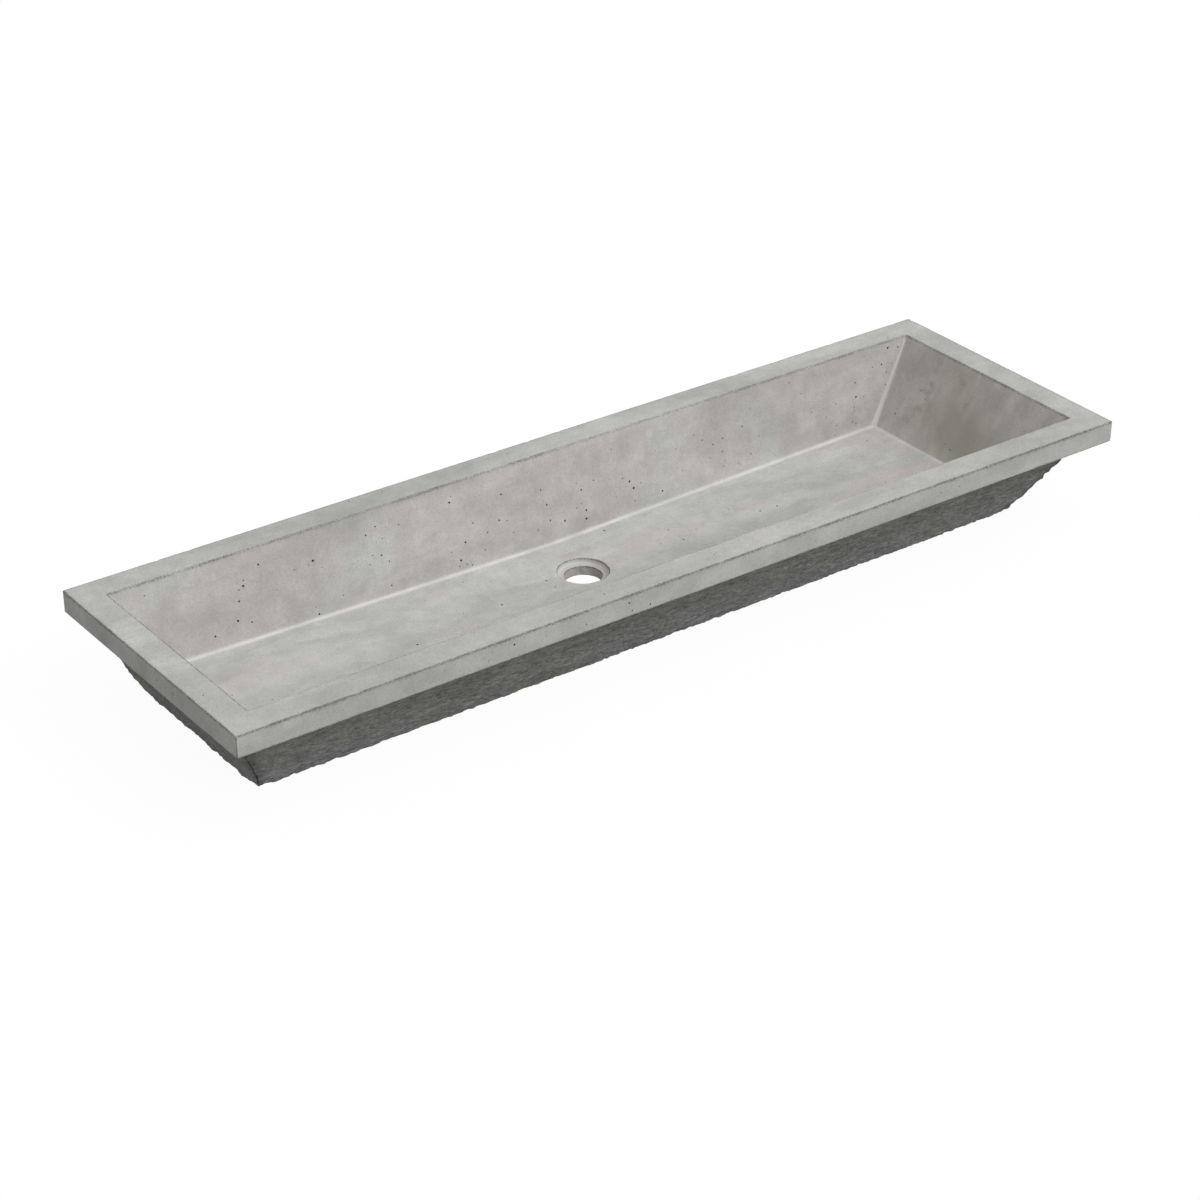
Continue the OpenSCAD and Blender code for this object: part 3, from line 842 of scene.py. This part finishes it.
def face_concrete():
    """Smooth cast concrete: greenish grey with warm clouds and darker edges, with painted
    highlights in the coves, painted shade in the pits and painted light and shade in places.
    """
    p = Paint("face_concrete")
    wall, floor = p.mark("wall"), p.mark("floor")
    along, across = node(p.tree, "SeparateXYZ", {0: p.place}).outputs[:2]
    # the right end wall is the most stained
    end = p.math("MULTIPLY", p.mark("end"), p.ramp(along, -0.1, 0.1, 0.25, 1.0))
    clouds = p.mix(wall, p.clouds((4, 11, 11), 5, 0.55, 0.4), p.clouds((8, 8, 9), 5, 0.55, 0.4))
    bias = p.math("MULTIPLY_ADD", wall, 0.25, p.math("MULTIPLY", floor, 0.11))
    for centre, size, change in WARMTHS:
        bias = p.math("MULTIPLY_ADD", p.spot(centre, size), change, bias)
    warmth = p.ramp(p.math("ADD", clouds, bias), 0.62, 0.74)
    color = p.mix(warmth, COOL, WARM)
    patches = p.ramp(p.clouds((8, 10, 10), 5, 0.6, 0.5), 0.42, 0.76, 0.0, 0.5)
    damp = p.spot(DAMP_AT, DAMP_REACH)
    uneven = p.ramp(p.clouds((25, 25, 18), 4, 0.6, 0.4), 0.3, 0.7, -0.25, 0.1)
    patches = p.math("MAXIMUM", patches, p.math("MULTIPLY_ADD", damp, 1.1, uneven))
    color = p.mix(p.math("MULTIPLY", end, p.ramp(patches, 0, 1, 0.5, 1.0)), color, EARTHY)
    bright = p.mix(wall, p.ramp(warmth, 0, 1, 1.0, 0.94), p.ramp(warmth, 0, 1, 1.07, 1.0))
    color = p.shade(color, p.mix(p.math("MAXIMUM", wall, floor), (0.92, 0.92, 0.92), bright))

    # light and dark clouds, mottling and grain, in turn finer
    tone = p.ramp(p.clouds((4, 14, 12), 4, 0.6, 0.5), 0.34, 0.66, 0.88, 1.08)
    mottle = p.ramp(p.clouds((34, 38, 26), 6, 0.7), 0.3, 0.7, 0.92, 1.07)
    grain = p.ramp(p.clouds(500, 3, 0.7), 0.3, 0.7, 0.90, 1.10)
    color = p.shade(color, p.math("MULTIPLY", tone, p.math("MULTIPLY", mottle, grain)))

    # painted shade: the floor is paler towards the back and darker towards the front wall
    painted_front_shadow = p.ramp(across, 0.0, 0.14, 0.93, 1.05)
    color = p.shade(color, p.mix(floor, (1, 1, 1), painted_front_shadow))
    # paler and darker stretches, some of them painted light and shade
    tone_and_painted_light = 1.0
    for centre, size, change in TONES_AND_PAINTED_LIGHT:
        tone_and_painted_light = p.math("MULTIPLY_ADD", p.spot(centre, size), change, tone_and_painted_light)
    color = p.shade(color, tone_and_painted_light)

    # darker smudges on the walls, most of all at the ends
    smudges = p.ramp(p.clouds((13, 13, 17), 5, 0.6, 0.3), 0.50, 0.68)
    smudges = p.math("MULTIPLY", smudges, p.math("MULTIPLY_ADD", end, 0.6, 0.3))
    streaks = p.ramp(p.clouds((55, 55, 7), 3, 0.5), 0.4, 0.7)
    streaks = p.math("MULTIPLY", streaks, p.math("MULTIPLY_ADD", end, 0.1, 0.1))
    smudges = p.math("ADD", streaks, smudges)
    smudges = p.math("MULTIPLY_ADD", p.math("MULTIPLY", patches, end), 0.8, smudges)
    smudges = p.math("MINIMUM", p.math("MULTIPLY", smudges, wall), 0.8)
    color = p.mix(smudges, color, SHADY)

    # specks, the bore, the darker edges, the painted highlight in the coves and the painted shade
    # in the pits
    near = p.ramp(p.clouds(20, 3, 0.6), 0.4, 0.6, 0.15, 1.0)
    dark = p.math("MAXIMUM", p.specks(210, 0.15, 0.3), p.specks(420, 0.2, 0.25))
    color = p.mix(p.math("MULTIPLY", dark, near), color, SPECK)
    color = p.mix(p.mark("bore"), color, BORE)
    ragged = p.ramp(p.clouds(450, 5, 0.75), 0.3, 0.7, -0.3, 0.3)
    ragged = p.math("ADD", ragged, p.ramp(p.clouds(22, 3, 0.6), 0.35, 0.65, -0.1, 0.1))
    ragged = p.ramp(p.math("ADD", p.mark("arris"), ragged), 0.4, 1.3, 0, 1.0)
    color = p.mix(ragged, color, EDGE_DARK)
    # painted highlight along the coves and the seat's wall
    highlight = p.ramp(p.clouds(20, 3, 0.6), 0.3, 0.7, 0.45, 0.95)
    color = p.mix(p.math("MULTIPLY", p.mark("cove"), highlight), color, PAINTED_HIGHLIGHT)
    # painted shade inside the pits
    color = p.mix(p.ramp(p.mark("pit"), 0.45, 0.8), color, PIT_SHADE)
    rough = p.ramp(p.clouds(30, 4, 0.6), 0.3, 0.7, 0.55, 0.7)
    height = p.clouds(420, 4, 0.6)
    p.shader.inputs["Specular IOR Level"].default_value = 0.3
    return p.finish(color, rough, height, 0.0002, 0.5)


def fibre_concrete(name, with_relief_shading):
    """Dark hand-packed concrete, bluer towards the ground, with painted shade high up and at the
    left end, and when asked with painted light on its lumps and painted shade in its hollows.
    """
    p = Paint(name)
    clouds = p.clouds((9, 9, 14), 5, 0.6, 0.6)
    level = node(p.tree, "SeparateXYZ", {0: p.place}).outputs[2]
    blue = p.math("MULTIPLY", p.ramp(clouds, 0.4, 0.6), p.ramp(level, 0.06, 0.0))
    color = p.mix(blue, BATCH_GREY, BATCH_BLUE)
    strokes = p.clouds((75, 120, 400), 4, 0.75, 1.3, (0, radians(9), 0))
    tone = p.ramp(strokes, 0.3, 0.7, 0.62, 1.4)
    if with_relief_shading:
        # painted light on the lumps and painted shade in the hollows
        tone = p.math("MULTIPLY", tone, p.ramp(p.mark("height"), 0.1, 0.9, 0.78, 1.22))
    # painted shade: the batches are darker higher up, under the rim, and paler near the ground
    tone = p.math("MULTIPLY", tone, p.ramp(level, 0.075, 0.005, 0.93, 1.14))
    blotches = p.ramp(p.clouds((18, 18, 40), 4, 0.6), 0.3, 0.7, 0.90, 1.10)
    tone = p.math("MULTIPLY", tone, blotches)
    # painted shade: the left end is darker
    left_end_shade = p.spot((-0.61, 0.0, 0.04), (0.10, 0.40, 0.14))
    tone = p.math("MULTIPLY", tone, p.math("MULTIPLY_ADD", left_end_shade, -0.12, 1.0))
    color = p.shade(color, tone)
    rough = p.ramp(clouds, 0.3, 0.7, 0.8, 0.95)
    height = p.math("ADD", strokes, p.clouds(420, 4, 0.6))
    p.shader.inputs["Specular IOR Level"].default_value = 0.2
    return p.finish(color, rough, height, 0.0014, 0.9)


def glass_fibre_net():
    """Woven glass strands, with the ribs of their threads."""
    p = Paint("glass_fibre_net")
    threads = p.clouds(900, 2, 0.5)
    color = p.mix(p.ramp(threads, 0.3, 0.7), (0.62, 0.63, 0.60), (0.86, 0.86, 0.84))
    p.shader.inputs["Specular IOR Level"].default_value = 0.5
    return p.finish(color, p.ramp(threads, 0.3, 0.7, 0.35, 0.6), threads, 0.0003)


def drawn_steel(name, bright, darkened):
    """Drawn steel with fine marks and a bloom of rust."""
    p = Paint(name)
    marks = p.clouds(1400, 2, 0.5)
    bloom = p.ramp(p.clouds(40, 5, 0.65), 0.5, 0.7)
    color = p.mix(bloom, bright, darkened)
    p.shader.inputs["Metallic"].default_value = 0.85
    return p.finish(color, p.ramp(marks, 0.3, 0.7, 0.35, 0.6), marks, 0.0001)


# ---------------------------------------------------------------- the sink

cast_face(face_concrete())
rough = fibre_concrete("fibre_concrete", True)
rough_wall("front", (660, 76, 5), rough)
rough_wall("back", (560, 56, 5), rough)
rough_wall("left", (190, 72, 6), rough)
rough_wall("right", (190, 72, 6), rough)
rough_floor(rough)

kept_nodes = {
    "rim_core": fibre_concrete("core_concrete", False),
    "scrim_": glass_fibre_net(),
    "rim_bar_": drawn_steel("bar_steel", (0.50, 0.50, 0.51), (0.25, 0.14, 0.08)),
    "corner_ties": drawn_steel("tie_wire", (0.16, 0.16, 0.17), (0.10, 0.06, 0.04)),
}
for name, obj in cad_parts.items():
    for start, material in kept_nodes.items():
        if name.startswith(start):
            obj.data.materials.clear()
            obj.data.materials.append(material)

# ---------------------------------------------------------------- floor, light and camera

FLOOR_REACH = 30
FLOOR_GREY, WORLD_STRENGTH = 0.35, 0.48  # for all rays but those that the camera sees
FLOOR_WHITE = 0.96  # share of plain white in what the camera sees of the floor
KEY_STRENGTH, KEY_WIDTH = 2.14, radians(60)
KEY_FROM = np.array([0.17, -0.41, 0.53])
CAMERA_AT = (-1.9040, -2.5788, 1.8152)
CAMERA_DOWN, CAMERA_RIGHT = 29.430, 36.136  # degrees from level and from +Y
LENS, SENSOR = 92.44, 36


def camera_share(tree, otherwise):
    """1 for the rays that the camera sees, straight or by gloss, and 0 for the others. Then the
    same with otherwise for 0."""
    ray = node(tree, "LightPath").outputs
    inputs = {0: ray["Is Camera Ray"], 1: ray["Is Glossy Ray"]}
    seen = node(tree, "Math", inputs, operation="MAXIMUM").outputs[0]
    inputs = {"Value": seen, "To Min": otherwise, "To Max": 1.0}
    return seen, node(tree, "MapRange", inputs).outputs[0]


def stage_floor():
    """A plain pale floor, white to the camera but for the sink's soft shadow."""
    material = bpy.data.materials.new("stage_floor")
    material.use_nodes = True
    tree = material.node_tree
    tree.nodes.clear()
    seen, grey = camera_share(tree, FLOOR_GREY)
    plain = node(tree, "BsdfDiffuse", {"Color": grey}).outputs[0]
    white = node(tree, "Emission", {"Color": (1, 1, 1, 1), "Strength": 1}).outputs[0]
    share = node(tree, "Math", {0: seen, 1: FLOOR_WHITE}, operation="MULTIPLY").outputs[0]
    both = node(tree, "MixShader", {0: share, 1: plain, 2: white}).outputs[0]
    node(tree, "OutputMaterial", {"Surface": both})
    mesh = bpy.data.meshes.new("stage_floor")
    r = FLOOR_REACH
    mesh.from_pydata([(-r, -r, 0), (r, -r, 0), (r, r, 0), (-r, r, 0)], [], [(0, 1, 2, 3)])
    mesh.materials.append(material)
    floor = placed("stage_floor", mesh)


def studio():
    """An even pale surround, white to the camera, and one broad soft light from above in front."""
    world = bpy.data.worlds.new("studio")
    bpy.context.scene.world = world
    world.use_nodes = True
    tree = world.node_tree
    tree.nodes.clear()
    strength = camera_share(tree, WORLD_STRENGTH)[1]
    light = node(tree, "Background", {"Color": (1, 1, 1, 1), "Strength": strength}).outputs[0]
    node(tree, "OutputWorld", {"Surface": light})
    lamp = bpy.data.lights.new("key", "SUN")
    lamp.energy, lamp.angle = KEY_STRENGTH, KEY_WIDTH
    x, y, z = KEY_FROM
    placed("key", lamp).rotation_euler = (np.arctan2(sqrt(x**2 + y**2), z), 0, np.arctan2(x, -y))


def camera():
    """At the photograph's angle and distance, as fitted to its straight edges."""
    data = bpy.data.cameras.new("camera")
    data.lens, data.sensor_width = LENS, SENSOR
    data.clip_start, data.clip_end = 0.1, 100
    obj = placed("camera", data)
    obj.location = CAMERA_AT
    obj.rotation_euler = (radians(90 - CAMERA_DOWN), 0, radians(-CAMERA_RIGHT))
    bpy.context.scene.camera = obj


stage_floor()
studio()
camera()
bpy.context.scene.view_settings.view_transform = "Standard"
